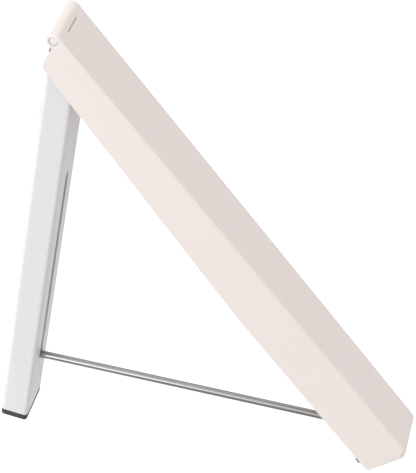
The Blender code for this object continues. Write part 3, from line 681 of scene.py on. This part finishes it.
def arm_piece():
    piece = moulded_plate("arm_shell_moulding", arm_side(), ARM_WIDTH, skin_radius, 8, ARM_PLACE)
    core = ROLL_RADIUS - ROLL_LIP
    reach = ROLL_RADIUS - ARM_FRONT
    meet = atan2(reach, sqrt(core ** 2 - reach ** 2))
    roll = [(x, -z) for x, z in arc((0, -ROLL_RADIUS), core, meet, -radians(178))]
    beyond = ARM_END_DEPTH + 30
    end = FREE_END - ARM_WALL
    corners = [(end, ARM_FRONT)] + roll
    corners += [(-ROLL_RADIUS - 10, ROLL_RADIUS + 1), (-ROLL_RADIUS - 10, beyond), (end, beyond)]
    radii = [END_RADIUS - ARM_WALL] + [0] * (len(corners) - 1)
    hollow = moulded_plate("hollow", rounded(arm_outline(corners), radii), ARM_INNER,
                           hollow_radius, 4, ARM_PLACE)
    carve(piece, "DIFFERENCE", hollow)
    pivot = (FREE_END - ROD_PIVOT_INSET, ROD_PIVOT_DEPTH)
    outline = rounded(arm_outline([(pivot[0] - RIB_REACH, ARM_FRONT - 1),
                                   (pivot[0] + RIB_HALF, ARM_FRONT - 1),
                                   (pivot[0] + RIB_HALF, pivot[1] + RIB_HALF),
                                   (pivot[0] - RIB_HALF, pivot[1] + RIB_HALF)]), [0, 0, 4, 4])
    ribs = []
    for side in (-1, 1):
        move = ARM_PLACE @ Matrix.Translation((0, side * RIB_OFFSET * MM, 0))
        ribs.append(moulded_plate("rib", outline, RIB_WIDTH, lambda point, normal: 0.25, 2, move))
    carve(piece, "UNION", *ribs)
    cutters = [cylinder("ear_bore", arm_spot(0, ROLL_RADIUS), EAR_BORE / 2, ARM_WIDTH + 2 * PAST,
                        "Y", ARM_PLACE),
               cylinder("rod_bore", arm_spot(*pivot), PIN_BORE / 2, 22, "Y", ARM_PLACE),
               cylinder("seats", (0, 0, 0), PIN_BORE / 2, ARM_INNER + 2.6, "Y", ARM_PLACE),
               block("slit", arm_spot(SLIT_NEAR, SLIT_DEPTH, -SLIT_LENGTH / 2),
                     arm_spot(SLIT_FAR, -PAST, SLIT_LENGTH / 2), ARM_PLACE, 0.5, "Z", 6)]
    middle = (ARM_INNER + ARM_WALL) / 2
    bumper = FREE_END - BUMPER_FROM_END
    for side in (-1, 1):
        cutters.append(block("pocket", arm_spot(bumper - POCKET_LENGTH / 2, ARM_END_DEPTH + PAST,
                                                side * middle - POCKET_WIDTH / 2),
                             arm_spot(bumper + POCKET_LENGTH / 2, ARM_END_DEPTH - POCKET_DEPTH,
                                      side * middle + POCKET_WIDTH / 2), ARM_PLACE))
    carve(piece, "DIFFERENCE", *cutters)
    soften(piece, 0.16, merge_flats=False)
    return dress(piece, BLUSH, "arm_plastic", "arm", "arm_shell")


def ear_piece():
    """The pin across the rolled end, with low domed ends."""
    radius = EAR_PIN / 2
    half = (ARM_WIDTH - 0.6) / 2
    profile = [(0, half), (1.1, half - 0.02), (radius - 0.5, half - 0.12),
               (radius - 0.15, half - 0.3), (radius, half - 0.6)]
    profile += [(radius, -height) for radius, height in reversed(profile)]
    piece = turned("ear_axle", profile, ARM_PLACE, arm_spot(0, ROLL_RADIUS))
    soften(piece, 0, angle=50)
    return dress(piece, WHITE_NYLON, "nylon", "arm", "ear_pin")


arm_piece()
ear_piece()
refined("bumper_near", "rim_bumper_near", RUBBER, "rubber", "arm", 0.18, 3)
refined("bumper_far", "rim_bumper_far", RUBBER, "rubber", "arm", 0.18, 3)
refined("rod_pivot_pin", "rod_axle", PIN_STEEL, "steel", "arm", 0.0)
refined("pivot_clip", "rod_axle_clip", PIN_STEEL, "steel", "arm", 0.1)
refined("pivot_washer_near", "rod_shim_near", WHITE_NYLON, "nylon", "arm", 0.08)
refined("pivot_washer_far", "rod_shim_far", WHITE_NYLON, "nylon", "arm", 0.08)
# low stiffening ribs moulded across the inside of the arm's front
FIRST_RIB, RIB_SUNK = 68.0, 0.5
rib_row("arm_stiffening_ribs", count=13, pitch=21.0, radius=0.9, length=29.0,
        place=ARM_PLACE @ Matrix.Translation(Vector(arm_spot(FIRST_RIB, ARM_FRONT - RIB_SUNK)) * MM)
        @ Matrix.Rotation(pi / 2, 4, "X"), material=BLUSH, slot="arm_plastic", body="arm")


# ---- rod ----
def rod_piece():
    """The hanging rod: rounded ends, and the small eye its two screws point into."""
    radius = ROD_DIAMETER / 2
    half = (ROD_LENGTH + ROD_PAST_SCREWS - ROD_SHORT_OF_PIN) / 2
    straight = half - 0.75
    profile = [(0, half), (radius - 0.7, half), (radius - 0.2, half - 0.3), (radius, straight)]
    profile += [(radius, straight - 2 * straight * k / 12) for k in range(1, 12)]
    profile += [(radius, -straight), (radius - 0.2, 0.3 - half), (radius - 0.7, -half),
                (0, -half)]
    piece = turned("hanging_rod", profile, ROD_PLACE, (-ROD_SHORT_OF_PIN - half, 0, 0), "X")
    eye = cylinder("eye", (-ROD_LENGTH, 0, 0), 0.9, 12, "Y", ROD_PLACE, 32)
    carve(piece, "DIFFERENCE", eye)
    soften(piece, 0, angle=45, merge_flats=False)
    return dress(piece, ROD_STEEL, "steel", "rod", "rod")


SCREW_LOW, SCREW_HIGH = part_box("pivot_screw_near")
SLIDER_PIVOT = (SCREW_LOW + SCREW_HIGH) / 2
ROD_LENGTH = sqrt((ROD_PIVOT.x - SLIDER_PIVOT.x) ** 2
                  + (ROD_PIVOT.z - SLIDER_PIVOT.z) ** 2) / MM
rod_piece()
refined("rod_knuckle", "rod_end_knuckle", WHITE_NYLON, "nylon", "rod", 0.35, 3)

# ---- stage: a glowing floor, soft light all round, and the camera ----
SKY_SLOPE, SKY_LEVEL = (-0.18, -0.25, 0.58), 0.66   # brighter above and on the near side
FLOOR_REACH, FLOOR_DEPTH = 6000, 20
FLOOR_DROP = 0.55             # floor below the rack, metres
GLOW_NEAR, GLOW_FAR = (0.03, 0.92), (0.55, 0.10)    # metres towards the room, brightness
KEY_PLACE, KEY_SIZE, KEY_POWER = (-0.9, -2.0, 0.55), (1.4, 1.4), 12

floor = block("floor", (-FLOOR_REACH, -FLOOR_REACH, -FLOOR_DEPTH), (FLOOR_REACH, FLOOR_REACH, 0),
              Matrix.Translation((0, 0, CAD_BOX[0].z - FLOOR_DROP)))
floor_finish = Finish("glowing_floor", Roughness=0.9)
floor_tone = floor_finish.noise(3.0, 2.0)
floor_finish.feed("Base Color", floor_finish.blend(floor_tone, colour(0.24, 0.24, 0.24),
                                                   colour(0.26, 0.26, 0.26)))
# painted light: the floor glows, brightest near the rack and fading towards the room
towards_room = floor_finish.along((1.0, -0.8, 0))
glow = floor_finish.ramp(towards_room, GLOW_NEAR, GLOW_FAR)
floor_finish.shader.inputs["Emission Strength"].default_value = 1.0
floor_finish.feed("Emission Color", glow)
floor.data.materials.append(floor_finish.material)

world = bpy.data.worlds.new("studio")
bpy.context.scene.world = world
world.use_nodes = True
sky = world.node_tree
sky_light = sky.nodes["Background"]
sky_place = sky.nodes.new("ShaderNodeTexCoord")
sky_slope = sky.nodes.new("ShaderNodeVectorMath")
sky_slope.operation = "DOT_PRODUCT"
sky_slope.inputs[1].default_value = SKY_SLOPE
sky_level = sky.nodes.new("ShaderNodeMath")
sky_level.inputs[1].default_value = SKY_LEVEL
sky.links.new(sky_place.outputs["Generated"], sky_slope.inputs[0])
sky.links.new(sky_slope.outputs["Value"], sky_level.inputs[0])
sky.links.new(sky_level.outputs[0], sky_light.inputs["Strength"])
sky_light.inputs["Color"].default_value = (1, 1, 1, 1)


def softbox(name, at, size, power):
    """A rectangular lamp turned towards the rack."""
    lamp = bpy.data.lights.new(name, "AREA")
    lamp.shape = "RECTANGLE"
    lamp.size, lamp.size_y = size
    lamp.energy = power
    holder = link(name, lamp)
    holder.location = at
    middle = (CAD_BOX[0] + CAD_BOX[1]) / 2
    holder.rotation_euler = (middle - Vector(at)).to_track_quat("-Z", "Y").to_euler()


softbox("key", KEY_PLACE, KEY_SIZE, KEY_POWER)

CAMERA_PLACE = (0.2012, -0.8734, 0.6969)
CAMERA_LENS, CAMERA_SENSOR = 163.95, 36
FORWARD = Vector((-0.0763, 0.7510, -0.6558)).normalized()
RIGHT = Vector((0.958, 0.237, 0.161)).normalized()
RIGHT = (RIGHT - FORWARD * RIGHT.dot(FORWARD)).normalized()
UP = RIGHT.cross(FORWARD)
camera = link("camera", bpy.data.cameras.new("camera"))
camera.matrix_world = (Matrix.Translation(CAMERA_PLACE)
                       @ Matrix((RIGHT, UP, -FORWARD)).transposed().to_4x4())
camera.data.sensor_fit = "HORIZONTAL"
camera.data.sensor_width = CAMERA_SENSOR
camera.data.lens = CAMERA_LENS
camera.data.clip_start = 0.02
bpy.context.scene.camera = camera
bpy.context.scene.view_settings.view_transform = "Standard"

bpy.context.view_layer.update()
